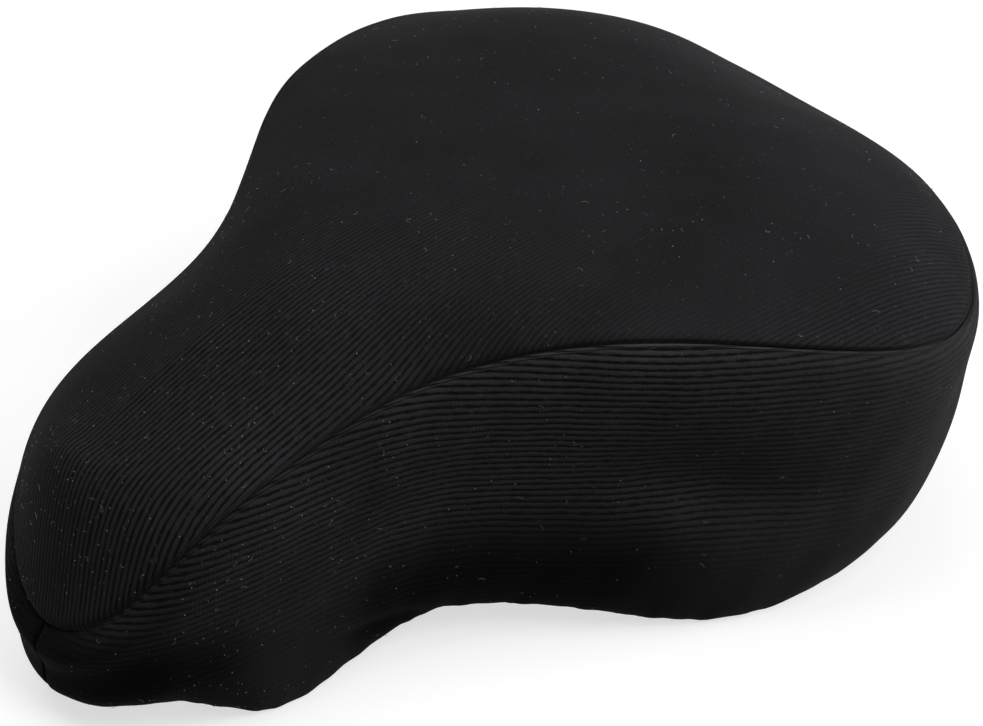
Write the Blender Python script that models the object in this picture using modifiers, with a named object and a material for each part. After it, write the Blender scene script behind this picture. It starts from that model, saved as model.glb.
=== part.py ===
"""Slip-on cover for a wide bicycle saddle, sewn from three panels of rib knit.

The nose points along -Y and the tail along +Y. The rider's left is +X. The cover stands
on its lowest fold at Z = 0, as it does when it is set down on a table.

One surface describes the cover. The plan gives its widest line, and every station along
that line has a section in an upright plane: a domed top from the crown to the seam, and a
wall from the seam round to the hem. The panels are pieces of that surface. Each one rolls
in at its edges and runs on inside as a seam allowance, so that two panels meet back to
back and leave a narrow groove on the outside. The wall's lower edge is turned up round an
elastic cord, which gathers it.
"""
import math

import bmesh
import bpy
import numpy as np

MM = 0.001

# Overall sizes
LENGTH = 266 * MM
NOSE_WIDTH = 81.5 * MM
WAIST_WIDTH = 91.5 * MM
WING_WIDTH = 219.5 * MM
CROWN_HEIGHT = 113.5 * MM
NOSE_Y = -LENGTH / 2
TAIL_Y = LENGTH / 2

# How far each station along the cover lies from the tip of the nose or from the tail
CAP_REACH = 2.5 * MM
CORNER_REACH = 15 * MM
CROWN_START_REACH = 20 * MM
WALL_CENTRE_REACH = 45 * MM
NECK_REACH = 48 * MM
CROWN_RISE_REACH = 70 * MM
FLARE_REACH = 136 * MM
SHOULDER_REACH = 96 * MM
CROWN_END_REACH = 72 * MM
WING_REACH = 58 * MM
HIP_REACH = 26 * MM
HEEL_REACH = 5 * MM

# The waist lies this share of the way from the neck to where the wings begin to flare
WAIST_SHARE = 0.49

# The same stations as places on the Y axis
CAP_Y = NOSE_Y + CAP_REACH
CORNER_Y = NOSE_Y + CORNER_REACH
CROWN_START_Y = NOSE_Y + CROWN_START_REACH
WALL_CENTRE_START_Y = NOSE_Y + WALL_CENTRE_REACH
NECK_Y = NOSE_Y + NECK_REACH
CROWN_RISE_Y = NOSE_Y + CROWN_RISE_REACH
FLARE_Y = TAIL_Y - FLARE_REACH
WAIST_Y = NECK_Y + WAIST_SHARE * (FLARE_Y - NECK_Y)
SHOULDER_Y = TAIL_Y - SHOULDER_REACH
CROWN_END_Y = TAIL_Y - CROWN_END_REACH
WING_Y = TAIL_Y - WING_REACH
HIP_Y = TAIL_Y - HIP_REACH
HEEL_Y = TAIL_Y - HEEL_REACH

# How much narrower than the nose or the wings the other stations are, on each side
CAP_STEP = 26.5 * MM
CORNER_STEP = 9.5 * MM
FLARE_STEP = 35.5 * MM
SHOULDER_STEP = 10 * MM
HIP_STEP = 21.5 * MM
HEEL_STEP = 58.5 * MM

# The widest line in plan, from the tip of the nose to the tail, on the left side
PLAN = (
    (0.0, NOSE_Y),
    (NOSE_WIDTH / 2 - CAP_STEP, CAP_Y),
    (NOSE_WIDTH / 2 - CORNER_STEP, CORNER_Y),
    (NOSE_WIDTH / 2, NECK_Y),
    (WAIST_WIDTH / 2, WAIST_Y),
    (WING_WIDTH / 2 - FLARE_STEP, FLARE_Y),
    (WING_WIDTH / 2 - SHOULDER_STEP, SHOULDER_Y),
    (WING_WIDTH / 2, WING_Y),
    (WING_WIDTH / 2 - HIP_STEP, HIP_Y),
    (WING_WIDTH / 2 - HEEL_STEP, HEEL_Y),
    (0.0, TAIL_Y),
)

# Heights in side view, before the cover is stood on its lowest fold. The seam and the crown
# keep their shares of the crown's full height, so that the dome never sinks below its edge.
SEAM_LINE = (
    (NOSE_Y, 0.308 * CROWN_HEIGHT),
    (CORNER_Y, 0.498 * CROWN_HEIGHT),
    (NECK_Y, 0.696 * CROWN_HEIGHT),
    (WAIST_Y, 0.797 * CROWN_HEIGHT),
    (FLARE_Y, 0.894 * CROWN_HEIGHT),
    (SHOULDER_Y, 0.850 * CROWN_HEIGHT),
    (WING_Y, 0.784 * CROWN_HEIGHT),
    (TAIL_Y, 0.762 * CROWN_HEIGHT),
)
CROWN_LINE = (
    (CROWN_START_Y, 0.731 * CROWN_HEIGHT),
    (CROWN_RISE_Y, 0.912 * CROWN_HEIGHT),
    (FLARE_Y, 0.982 * CROWN_HEIGHT),
    (CROWN_END_Y, CROWN_HEIGHT),
)
FOLD_LINE = (
    (NOSE_Y, 10.5 * MM),
    (CORNER_Y, 14.5 * MM),
    (NECK_Y, 3.5 * MM),
    (WAIST_Y, 13.5 * MM),
    (FLARE_Y, 12 * MM),
    (SHOULDER_Y, 4 * MM),
    (WING_Y, 16.5 * MM),
    (HIP_Y, 22 * MM),
    (TAIL_Y, 27 * MM),
)

# How sharply the dome falls away at its edge, and how far the wall turns from the slope of
# that edge towards straight down where it leaves the seam
DOME_POWER = 2.8
WALL_LEAN = 0.5

# Lengths at the nose and the tail where the sections fan out from one point
NOSE_FAN = 6 * MM
TAIL_FAN = 8 * MM

# How far each line of the wall lies inside the widest line
SEAM_INSET = ((NOSE_Y, 3 * MM), (NECK_Y, 3 * MM), (FLARE_Y, 2 * MM), (WING_Y, 0.2 * MM), (TAIL_Y, 1 * MM))
WAIST_HOLLOW = ((NOSE_Y, 2 * MM), (NECK_Y, 1.5 * MM), (FLARE_Y, 5 * MM), (WING_Y, 3.5 * MM), (TAIL_Y, 1 * MM))
LOWER_INSET = ((NOSE_Y, 2.5 * MM), (NECK_Y, 2 * MM), (FLARE_Y, 6 * MM), (WING_Y, 8 * MM), (TAIL_Y, 8.5 * MM))
FOLD_INSET = ((NOSE_Y, 16 * MM), (NECK_Y, 8 * MM), (FLARE_Y, 16 * MM), (WING_Y, 21 * MM), (TAIL_Y, 19 * MM))
HEM_REACH = 9 * MM
HEM_RISE = 4 * MM

# Shares of the wall's height at which those lines lie, measured down from the seam
WIDEST_SHARE = 0.25
HOLLOW_SHARE = 0.52
LOWER_SHARE = 0.80

# Cloth, seams and hem
CLOTH = 1.8 * MM
SEAM_GAP = 0.3 * MM
SEAM_ROLL = 2.2 * MM
SEAM_ALLOWANCE = 6 * MM
CORD_DIAMETER = 3 * MM
CORD_CLEARANCE = 0.35 * MM
FOLD_RADIUS = CORD_DIAMETER / 2 + CORD_CLEARANCE + CLOTH
HEM_TURN = 10 * MM
HEM_STITCH_GAP = 0.4 * MM
GATHER_DEPTH = 0.35 * MM
GATHER_PITCH = 13 * MM
GATHER_HEIGHT = 22 * MM

# Mesh fineness
TURN_WEIGHT = 26 * MM
TOP_ROWS = 6
WALL_ROWS = 4
LOWER_ROWS = 3
TURN_ROWS = 2
ROLL_ANGLES = (0.0, 45.0, 90.0)
FOLD_STEPS = 4
SECTION_STEPS = 90
PLAN_STEPS = 600
PROBE = 0.05 * MM
SEAM_PROBE = 0.5 * MM
SEAM_REACH = 3 * MM
CROWN_MERGE = 0.02 * MM
MIRROR_MERGE = 0.05 * MM

KNIT_COLOUR = (0.016, 0.016, 0.017, 1.0)
SIDE_COLOUR = (0.011, 0.011, 0.012, 1.0)
CORD_COLOUR = (0.020, 0.020, 0.020, 1.0)


def spline(knots, values, at, start_slope=None):
    """Cubic spline through the values. Its ends are free unless the first slope is given."""
    knots = np.asarray(knots, float)
    values = np.asarray(values, float).reshape(len(knots), -1)
    count = len(knots)
    step = np.diff(knots)
    rise = np.diff(values, axis=0) / step[:, None]
    matrix = np.eye(count)
    right = np.zeros_like(values)
    for i in range(1, count - 1):
        matrix[i, i - 1:i + 2] = (step[i - 1], 2 * (step[i - 1] + step[i]), step[i])
        right[i] = 6 * (rise[i] - rise[i - 1])
    if start_slope is not None:
        matrix[0, 0:2] = (2 * step[0], step[0])
        right[0] = 6 * (rise[0] - start_slope)
    bend = np.linalg.solve(matrix, right)
    at = np.clip(np.asarray(at, float), knots[0], knots[-1])
    i = np.clip(np.searchsorted(knots, at, side="right") - 1, 0, count - 2)
    t = (at - knots[i])[:, None]
    h = step[i][:, None]
    slope = rise[i] - h * (2 * bend[i] + bend[i + 1]) / 6
    return values[i] + slope * t + bend[i] / 2 * t**2 + (bend[i + 1] - bend[i]) / (6 * h) * t**3


def along(line, y):
    """A measure of the cover at the places y, from its values at a few stations."""
    knots, values = zip(*line)
    return spline(knots, values, y)[:, 0]


def unit(vectors):
    return vectors / np.linalg.norm(vectors, axis=-1, keepdims=True)


class Plan:
    """The widest line, which is carried past the centre plane so that it crosses it squarely."""

    def __init__(self):
        points = np.array(PLAN)
        across = np.array((-1.0, 1.0))
        self.points = np.vstack((points[3:0:-1] * across, points, points[-2:-5:-1] * across))
        legs = np.hypot(*np.diff(self.points, axis=0).T)
        reach = np.concatenate(([0.0], np.cumsum(legs)))
        self.knots = reach - reach[3]
        self.length = self.knots[-4]

    def at(self, place):
        return spline(self.knots, self.points, place)

    def stations(self, count, first, last):
        """Places from first to last, closer together where the line turns more sharply."""
        place = np.linspace(first, last, PLAN_STEPS)
        heading = unit(np.gradient(self.at(place), axis=0))
        turn = np.arccos(np.clip((heading[1:] * heading[:-1]).sum(axis=1), -1, 1))
        effort = np.concatenate(([0.0], np.cumsum(np.diff(place) + TURN_WEIGHT * turn)))
        return np.interp(np.linspace(0, effort[-1], count + 1), effort, place)


PLAN_CURVE = Plan()


def centre_line(y, start):
    """Points on the centre plane that the sections at the places y look out from."""
    first = NOSE_Y + NOSE_FAN
    last = TAIL_Y - TAIL_FAN
    share = np.clip((y - first) / (last - first), 0, 1)
    share = share * share * (3 - 2 * share)
    return np.stack((np.zeros_like(y), start + (CROWN_END_Y - start) * share), axis=1)


class Stations:
    """Where each section stands, which way it faces, and its seam and crown."""

    def __init__(self, place):
        self.foot = PLAN_CURVE.at(place)
        self.y = self.foot[:, 1]
        self.crown = centre_line(self.y, CROWN_START_Y)
        self.outward = unit(self.foot - centre_line(self.y, WALL_CENTRE_START_Y))
        self.inset = along(SEAM_INSET, self.y)
        self.seam = self.foot - self.outward * self.inset[:, None]
        self.radius = np.linalg.norm(self.seam - self.crown, axis=1)
        self.crown_z = along(CROWN_LINE, self.crown[:, 1])
        self.seam_z = along(SEAM_LINE, self.y)

    def seam_slope(self):
        """Unit direction in which the wall leaves the seam, as steps outward and upward."""
        slope = DOME_POWER * (self.seam_z - self.crown_z) / self.radius
        dome = unit(np.stack((np.ones_like(slope), slope), axis=1))
        return unit((1 - WALL_LEAN) * dome + WALL_LEAN * np.array((0.0, -1.0)))


def evenly(curve, distances):
    """Points of a planar curve at given distances along it."""
    legs = np.hypot(*np.diff(curve, axis=0).T)
    reach = np.concatenate(([0.0], np.cumsum(legs)))
    x = np.interp(distances(reach[-1]), reach, curve[:, 0])
    z = np.interp(distances(reach[-1]), reach, curve[:, 1])
    return np.stack((x, z), axis=1)


def top_surface(place, distances):
    """Domed top, at distances measured back from the seam towards the crown."""
    stations = Stations(place)
    share = np.linspace(1, 0, SECTION_STEPS)
    outward = unit(stations.seam - stations.crown)
    rows = []
    for i in range(len(place)):
        fall = stations.seam_z[i] - stations.crown_z[i]
        height = stations.crown_z[i] + fall * share**DOME_POWER
        section = evenly(np.stack((stations.radius[i] * share, height), axis=1), distances)
        level = stations.crown[i] + outward[i] * section[:, :1]
        rows.append(np.column_stack((level, section[:, 1])))
    return np.array(rows)


def wall_surface(place, distances):
    """Wall, at distances measured down from the seam towards the fold of the hem."""
    stations = Stations(place)
    y = stations.y
    fold_z = along(FOLD_LINE, y)
    height = stations.seam_z - fold_z
    fold_inset = along(FOLD_INSET, y)
    offsets = np.stack((
        -stations.inset, np.zeros_like(y), -along(WAIST_HOLLOW, y), -along(LOWER_INSET, y),
        -fold_inset, -fold_inset - HEM_REACH), axis=1)
    shares = (0.0, WIDEST_SHARE, HOLLOW_SHARE, LOWER_SHARE, 1.0)
    levels = [stations.seam_z - share * height for share in shares] + [fold_z + HEM_RISE]
    levels = np.stack(levels, axis=1)
    slopes = stations.seam_slope()
    rows = []
    for i in range(len(place)):
        guide = np.stack((offsets[i], levels[i]), axis=1)
        reach = np.concatenate(([0.0], np.cumsum(np.hypot(*np.diff(guide, axis=0).T))))
        curve = spline(reach, guide, np.linspace(0, reach[-1], SECTION_STEPS), slopes[i])
        section = evenly(curve, distances)
        level = stations.foot[i] + stations.outward[i] * section[:, :1]
        rows.append(np.column_stack((level, section[:, 1])))
    return np.array(rows)


def with_normals(surface, place, distances, turn):
    """Points of a surface, its outward normals and its tangents along the cover."""
    points = surface(place, distances)
    ahead = surface(place + PROBE, distances) - surface(place - PROBE, distances)

    def shifted(shift):
        return lambda length: np.clip(distances(length) + shift, 0, length)

    down = surface(place, shifted(PROBE)) - surface(place, shifted(-PROBE))
    return points, unit(np.cross(ahead, down)) * turn, unit(ahead)


def rolled_edge():
    """Distances from the seam's middle, and depths below the surface, of a rolled edge."""
    angles = np.radians(ROLL_ANGLES[::-1])
    return SEAM_GAP / 2 + SEAM_ROLL * (1 - np.sin(angles)), SEAM_ROLL * (1 - np.cos(angles))


def panel_places():
    """Places of the panels' columns, and the depth to which each is rolled in."""
    near, depth = rolled_edge()
    gathers = round(PLAN_CURVE.length / GATHER_PITCH)
    middle = PLAN_CURVE.stations(gathers, near[-1], PLAN_CURVE.length - near[-1])
    place = np.concatenate((near[:-1], middle, PLAN_CURVE.length - near[-2::-1]))
    flat = np.zeros(len(middle))
    return place, np.concatenate((depth[:-1], flat, depth[-2::-1]))


def refined(place, depth):
    """The same places with one more halfway between each two that aren't rolled in."""
    fine = [place[0]]
    kept = [0]
    for i in range(1, len(place)):
        if depth[i] == 0 and depth[i - 1] == 0:
            fine.append((place[i] + place[i - 1]) / 2)
        fine.append(place[i])
        kept.append(len(fine) - 1)
    fine = np.array(fine)
    return fine, np.interp(fine, place, depth), kept


def seam_frame(place):
    """Points of the top seam, its outward normal and the direction down across it."""
    def curve(at):
        stations = Stations(at)
        return np.column_stack((stations.seam, stations.seam_z))

    seam = curve(place)
    onward = unit(curve(place + SEAM_PROBE) - curve(place - SEAM_PROBE))
    above = top_surface(place, lambda length: np.array((SEAM_REACH,)))[:, 0]
    below = wall_surface(place, lambda length: np.array((SEAM_REACH,)))[:, 0]
    normal = unit(np.cross(unit(seam - above) + unit(below - seam), onward))
    return seam, normal, unit(np.cross(onward, normal))


def rolled_rows(seam, normal, across, side):
    """Lines of a seam allowance and of the roll that leads to it, above or below the seam."""
    near, depth = rolled_edge()
    centre = seam + side * across * near[-1] - normal * SEAM_ROLL
    edge = seam + side * across * near[0] - normal * SEAM_ROLL
    rows = [edge - normal * SEAM_ALLOWANCE, edge]
    for angle in np.radians(ROLL_ANGLES[-2:0:-1]):
        rows.append(centre + SEAM_ROLL * (normal * math.cos(angle) - side * across * math.sin(angle)))
    return np.stack(rows, axis=1)


def top_lines():
    """Lines of half the top panel, from the edge of its seam allowance up to the crown."""
    near = rolled_edge()[0]
    place = panel_places()[0]
    place = np.concatenate(([0.0], place[1:-1], [PLAN_CURVE.length]))
    rolled = rolled_rows(*seam_frame(place), -1)
    smooth = top_surface(place, lambda length: np.linspace(near[-1], length, TOP_ROWS + 1))
    lines = np.concatenate((rolled, smooth), axis=1).transpose(1, 0, 2)
    lines[:, (0, -1), 0] = 0.0
    lines[-1, :, 0] = 0.0
    return lines


class Wall:
    """Lines of the left side panel, from its seam allowance down to the hem and back up."""

    def __init__(self):
        near, depth = rolled_edge()
        self.place, self.depth, self.kept = refined(*panel_places())
        gathered = np.linspace(GATHER_HEIGHT, HEM_TURN, LOWER_ROWS + 1)
        turned = np.linspace(HEM_TURN, 0, TURN_ROWS + 1)
        above_fold = np.concatenate((gathered[1:], turned[1:]))

        def distances(length):
            smooth = np.linspace(near[-1], length - GATHER_HEIGHT, WALL_ROWS + 1)
            return np.concatenate((smooth, length - above_fold))

        smooth, normals, ahead = with_normals(wall_surface, self.place, distances, -1.0)
        smooth[:, WALL_ROWS + 1:] += normals[:, WALL_ROWS + 1:] * self.ripple(above_fold)[..., None]
        frame = seam_frame(self.place)
        rolled = rolled_rows(*frame, 1)
        rolled_normals = np.repeat(frame[1][:, None], len(near) - 1, axis=1)
        normals = np.concatenate((rolled_normals, normals), axis=1)
        normals[(0, -1), :, 0] = 0.0
        normals = unit(normals)
        points = np.concatenate((rolled[:, 1:], smooth), axis=1)
        self.coarse_rows = len(near) + WALL_ROWS
        points = points - normals * self.fall(depth, len(points[0]))[..., None]
        points[(0, -1), :, 0] = SEAM_GAP / 2
        self.allowance = points - normals * SEAM_ALLOWANCE
        self.allowance[:, 0] = rolled[:, 0]
        self.allowance = self.allowance[:, :self.coarse_rows]
        self.allowance[(0, -1), :, 0] = SEAM_GAP / 2
        self.lines = list(points.transpose(1, 0, 2))
        self.turn_up(points, normals, ahead)

    def fall(self, depth, row_count):
        """How much deeper each point is rolled in towards the seams at both ends."""
        across = np.concatenate((depth, np.zeros(row_count - len(depth))))
        above_hem = np.arange(row_count) < self.coarse_rows + LOWER_ROWS - 1
        return np.maximum(self.depth[:, None] * above_hem[None] - across[None], 0.0)

    def ripple(self, above_fold):
        """Gathers of the cloth: out at each station and in halfway to the next."""
        swell = np.sin(math.pi * np.clip(above_fold / GATHER_HEIGHT, 0, 1)) ** 2
        out = np.full(len(self.place), -GATHER_DEPTH)
        out[self.kept] = GATHER_DEPTH
        return out[:, None] * swell[None]

    def turn_up(self, points, normals, ahead):
        """The cloth turned round the elastic cord and back up inside the wall."""
        edge, normal = points[:, -1], normals[:, -1]
        self.cord = edge - normal * FOLD_RADIUS
        onward = unit(np.cross(ahead[:, -1], normal))
        for angle in np.linspace(0, math.pi, FOLD_STEPS + 1)[1:]:
            self.lines.append(self.cord + FOLD_RADIUS * (normal * math.cos(angle) + onward * math.sin(angle)))
        depths = np.linspace(2 * FOLD_RADIUS, 2 * CLOTH + HEM_STITCH_GAP, TURN_ROWS + 1)
        for i in range(1, TURN_ROWS + 1):
            self.lines.append(points[:, -1 - i] - normals[:, -1 - i] * depths[i])


def bridge(mesh, first, second):
    """Faces between two lines of vertices."""
    for i in range(len(first) - 1):
        mesh.faces.new((first[i], first[i + 1], second[i + 1], second[i]))


def fan_out(mesh, coarse, fine, kept):
    """Faces between a line of vertices and a finer one that has more between them."""
    for i in range(len(coarse) - 1):
        below = fine[kept[i]:kept[i + 1] + 1]
        mesh.faces.new([coarse[i], coarse[i + 1]] + below[::-1])


def vertices(mesh, line):
    return [mesh.verts.new(point) for point in line]


def top_mesh(ground):
    """Half of the top panel, open at the centre plane."""
    mesh = bmesh.new()
    rows = [vertices(mesh, line - ground) for line in top_lines()]
    for first, second in zip(rows, rows[1:]):
        bridge(mesh, first, second)
    bmesh.ops.remove_doubles(mesh, verts=mesh.verts, dist=CROWN_MERGE)
    return mesh


def side_mesh(wall, ground, side):
    """One side panel, on the left where side is 1 and on the right where it is -1."""
    mesh = bmesh.new()
    allowance = wall.allowance.transpose(1, 0, 2) - ground
    rows = [vertices(mesh, line[wall.kept] - ground) for line in wall.lines[:wall.coarse_rows]]
    fine = [vertices(mesh, line - ground) for line in wall.lines[wall.coarse_rows:]]
    top_edge = vertices(mesh, allowance[0][wall.kept])
    bridge(mesh, top_edge, rows[0])
    for first, second in zip(rows, rows[1:]):
        bridge(mesh, first, second)
    fan_out(mesh, rows[-1], fine[0], wall.kept)
    for first, second in zip(fine, fine[1:]):
        bridge(mesh, first, second)
    front = [top_edge[0]] + vertices(mesh, allowance[1:, 0])
    back = [top_edge[-1]] + vertices(mesh, allowance[1:, -1])
    bridge(mesh, [row[0] for row in rows], front)
    bridge(mesh, back, [row[-1] for row in rows])
    for vertex in mesh.verts:
        vertex.co.x *= side
    if side > 0:
        bmesh.ops.reverse_faces(mesh, faces=mesh.faces)
    return mesh


def material(name, colour, roughness):
    result = bpy.data.materials.new(name)
    result.use_nodes = True
    shader = result.node_tree.nodes["Principled BSDF"]
    shader.inputs["Base Color"].default_value = colour
    shader.inputs["Roughness"].default_value = roughness
    shader.inputs["Metallic"].default_value = 0.0
    return result


def add_cloth(name, mesh, look, collection, mirrored=False):
    """A panel of cloth: the outer face as a sheet, thickened inwards."""
    data = bpy.data.meshes.new(name)
    mesh.to_mesh(data)
    mesh.free()
    data.materials.append(look)
    data.shade_smooth()
    panel = bpy.data.objects.new(name, data)
    collection.objects.link(panel)
    if mirrored:
        mirror = panel.modifiers.new("Other half", "MIRROR")
        mirror.merge_threshold = MIRROR_MERGE
    solid = panel.modifiers.new("Cloth thickness", "SOLIDIFY")
    solid.thickness = CLOTH
    solid.offset = -1.0
    solid.use_quality_normals = True
    return panel


def add_cord(name, half, look, collection):
    """The elastic cord, as one closed loop in the fold of the hem."""
    ends = half.copy()
    ends[(0, -1), 0] = 0.0
    loop = np.vstack((ends, ends[-2:0:-1] * np.array((-1.0, 1.0, 1.0))))
    curve = bpy.data.curves.new(name, "CURVE")
    curve.dimensions = "3D"
    curve.bevel_depth = CORD_DIAMETER / 2
    curve.bevel_resolution = 1
    path = curve.splines.new("POLY")
    path.points.add(len(loop) - 1)
    for point, place in zip(path.points, loop):
        point.co = (*place, 1.0)
    path.use_cyclic_u = True
    curve.materials.append(look)
    cord = bpy.data.objects.new(name, curve)
    collection.objects.link(cord)
    return cord


def main():
    for item in list(bpy.data.objects):
        bpy.data.objects.remove(item, do_unlink=True)
    cover = bpy.data.collections.new("bike_saddle_cover")
    bpy.context.scene.collection.children.link(cover)
    wall = Wall()
    ground = np.array((0.0, 0.0, min(line[:, 2].min() for line in wall.lines)))
    top_knit = material("top_knit", KNIT_COLOUR, 0.9)
    left_knit = material("left_knit", SIDE_COLOUR, 0.92)
    right_knit = material("right_knit", SIDE_COLOUR, 0.92)
    elastic = material("elastic", CORD_COLOUR, 0.75)
    add_cloth("top_panel", top_mesh(ground), top_knit, cover, mirrored=True)
    add_cloth("side_panel_left", side_mesh(wall, ground, 1), left_knit, cover)
    add_cloth("side_panel_right", side_mesh(wall, ground, -1), right_knit, cover)
    add_cord("hem_elastic", wall.cord - ground, elastic, cover)


main()
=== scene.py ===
# %% [markdown]
# # A slip-on cover for a wide bicycle saddle
# The real thing is sewn from three panels of black rib knit: one over the seat and one down
# each side. Their edges roll in at the seams, and an elastic cord in the hem pulls the sides
# under the saddle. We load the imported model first. It fixes every size and place, and each
# panel below stands for one of its parts.

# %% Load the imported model
import math
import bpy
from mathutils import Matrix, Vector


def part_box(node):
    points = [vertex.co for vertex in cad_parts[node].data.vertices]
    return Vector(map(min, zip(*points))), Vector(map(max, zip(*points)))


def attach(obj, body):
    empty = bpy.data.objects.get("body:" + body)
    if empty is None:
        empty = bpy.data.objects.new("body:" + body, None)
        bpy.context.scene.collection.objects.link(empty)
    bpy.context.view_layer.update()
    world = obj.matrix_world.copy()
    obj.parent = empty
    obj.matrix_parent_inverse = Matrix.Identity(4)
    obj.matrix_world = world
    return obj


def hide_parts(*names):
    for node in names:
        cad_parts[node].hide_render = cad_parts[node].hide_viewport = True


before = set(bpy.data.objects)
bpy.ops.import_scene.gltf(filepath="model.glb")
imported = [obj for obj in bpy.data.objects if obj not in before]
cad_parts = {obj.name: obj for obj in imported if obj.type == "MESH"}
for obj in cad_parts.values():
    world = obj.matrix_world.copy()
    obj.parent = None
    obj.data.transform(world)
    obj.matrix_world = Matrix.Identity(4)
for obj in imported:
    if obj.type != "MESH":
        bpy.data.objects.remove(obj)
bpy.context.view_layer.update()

from types import SimpleNamespace

import bmesh
import bpy
import numpy as np
from mathutils import Vector

print("parts:", ", ".join(sorted(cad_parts)))

# %% [markdown]
# ## The sizes of the cover
# A cover has no flat face and no straight edge, so it could be carved or draped by hand. We
# describe it by lines instead, as a boat builder does: one line round its widest part in plan,
# the height of the seam and of the hem along it, and how far the wall tucks in below. The
# same lines made the model, so the cloth lands exactly on it.

# %% Lines of the cover, in metres
MM = 0.001
LENGTH = 266 * MM
NOSE_Y = -LENGTH / 2
TAIL_Y = LENGTH / 2
CORNER_Y = NOSE_Y + 15 * MM
CROWN_START_Y = NOSE_Y + 20 * MM
WALL_CENTRE_Y = NOSE_Y + 45 * MM
NECK_Y = NOSE_Y + 48 * MM
FLARE_Y = TAIL_Y - 136 * MM
WAIST_Y = NECK_Y + 0.49 * (FLARE_Y - NECK_Y)
SHOULDER_Y = TAIL_Y - 96 * MM
CROWN_END_Y = TAIL_Y - 72 * MM
WING_Y = TAIL_Y - 58 * MM
HIP_Y = TAIL_Y - 26 * MM
SWING_START_Y = NOSE_Y + 6 * MM
SWING_END_Y = TAIL_Y - 8 * MM

PLAN = np.array((
    (0.0, NOSE_Y), (14.25 * MM, NOSE_Y + 2.5 * MM), (31.25 * MM, CORNER_Y), (40.75 * MM, NECK_Y),
    (45.75 * MM, WAIST_Y), (74.25 * MM, FLARE_Y), (99.75 * MM, SHOULDER_Y), (109.75 * MM, WING_Y),
    (88.25 * MM, HIP_Y), (51.25 * MM, TAIL_Y - 5 * MM), (0.0, TAIL_Y)))


def line(stations, values):
    """Pairs of a place on the Y axis and a value there, given in millimetres."""
    return np.column_stack((stations, np.array(values) * MM))


UPPER = (NOSE_Y, CORNER_Y, NECK_Y, WAIST_Y, FLARE_Y, SHOULDER_Y, WING_Y, TAIL_Y)
LOWER = UPPER[:-1] + (HIP_Y, TAIL_Y)
MIDDLE = (CROWN_START_Y, NOSE_Y + 70 * MM, FLARE_Y, CROWN_END_Y)
FEW = (NOSE_Y, NECK_Y, FLARE_Y, WING_Y, TAIL_Y)
TOP_IN_MM = 113.5
SEAM_HEIGHT = line(UPPER, TOP_IN_MM * np.array((0.308, 0.498, 0.696, 0.797, 0.894, 0.850, 0.784, 0.762)))
HEM_HEIGHT = line(LOWER, (10.5, 14.5, 3.5, 13.5, 12, 4, 16.5, 22, 27))
CROWN_HEIGHT = line(MIDDLE, TOP_IN_MM * np.array((0.731, 0.912, 0.982, 1.0)))
SEAM_INSET = line(FEW, (3, 3, 2, 0.2, 1))
HOLLOW_INSET = line(FEW, (2, 1.5, 5, 3.5, 1))
LOWER_INSET = line(FEW, (2.5, 2, 6, 8, 8.5))
HEM_INSET = line(FEW, (16, 8, 16, 21, 19))
DOME_POWER = 2.8
WALL_LEAN = 0.5
WALL_SHARES = (0.0, 0.25, 0.52, 0.80, 1.0)
HOOK_IN = 9 * MM
HOOK_UP = 4 * MM
GROUND = CROWN_HEIGHT[-1, 1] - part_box("top_panel")[1].z
TO_GROUND = np.array((0.0, 0.0, GROUND))
print("plan stations:", len(PLAN), "- the floor is", round(1000 * GROUND, 2), "mm above the lines' zero")

# %% [markdown]
# ## Smooth lines through the stations
# A cubic spline through a few stations gives a fair line with no kinks, just as a bent
# wooden batten does. It is short enough to write out with NumPy.

# %% A batten bent through its stations
def spline(knots, values, at, start_slope=None):
    knots = np.asarray(knots, float)
    values = np.asarray(values, float).reshape(len(knots), -1)
    count = len(knots)
    step = np.diff(knots)
    rise = np.diff(values, axis=0) / step[:, None]
    matrix = np.eye(count)
    right = np.zeros_like(values)
    for i in range(1, count - 1):
        matrix[i, i - 1:i + 2] = (step[i - 1], 2 * (step[i - 1] + step[i]), step[i])
        right[i] = 6 * (rise[i] - rise[i - 1])
    if start_slope is not None:
        matrix[0, 0:2] = (2 * step[0], step[0])
        right[0] = 6 * (rise[0] - start_slope)
    bend = np.linalg.solve(matrix, right)
    at = np.clip(np.asarray(at, float), knots[0], knots[-1])
    i = np.clip(np.searchsorted(knots, at, side="right") - 1, 0, count - 2)
    t = (at - knots[i])[:, None]
    h = step[i][:, None]
    slope = rise[i] - h * (2 * bend[i] + bend[i + 1]) / 6
    return values[i] + slope * t + bend[i] / 2 * t**2 + (bend[i + 1] - bend[i]) / (6 * h) * t**3


def along(pairs, y):
    """The value of a line at each y."""
    return spline(pairs[:, 0], pairs[:, 1], y)[:, 0]


def unit(vectors):
    return vectors / np.linalg.norm(vectors, axis=-1, keepdims=True)


def eased(share):
    """A share between 0 and 1 that starts and stops gently."""
    share = np.clip(share, 0, 1)
    return share * share * (3 - 2 * share)


# %% The widest line, carried past the centre plane so that it crosses it squarely
MIRRORED = np.array((-1.0, 1.0))
plan_points = np.vstack((PLAN[3:0:-1] * MIRRORED, PLAN, PLAN[-2:-5:-1] * MIRRORED))
plan_knots = np.concatenate(([0.0], np.cumsum(np.hypot(*np.diff(plan_points, axis=0).T))))
plan_knots -= plan_knots[3]
SIDE_LENGTH = plan_knots[-4]
print("each side is", round(1000 * SIDE_LENGTH), "mm along its widest line")


# %% Where each section stands, which way it faces, and its seam and crown
def centre_points(y, start):
    """The points of the centre plane that the sections look out from."""
    share = eased((y - SWING_START_Y) / (SWING_END_Y - SWING_START_Y))
    return np.stack((np.zeros_like(y), start + (CROWN_END_Y - start) * share), axis=1)


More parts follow.
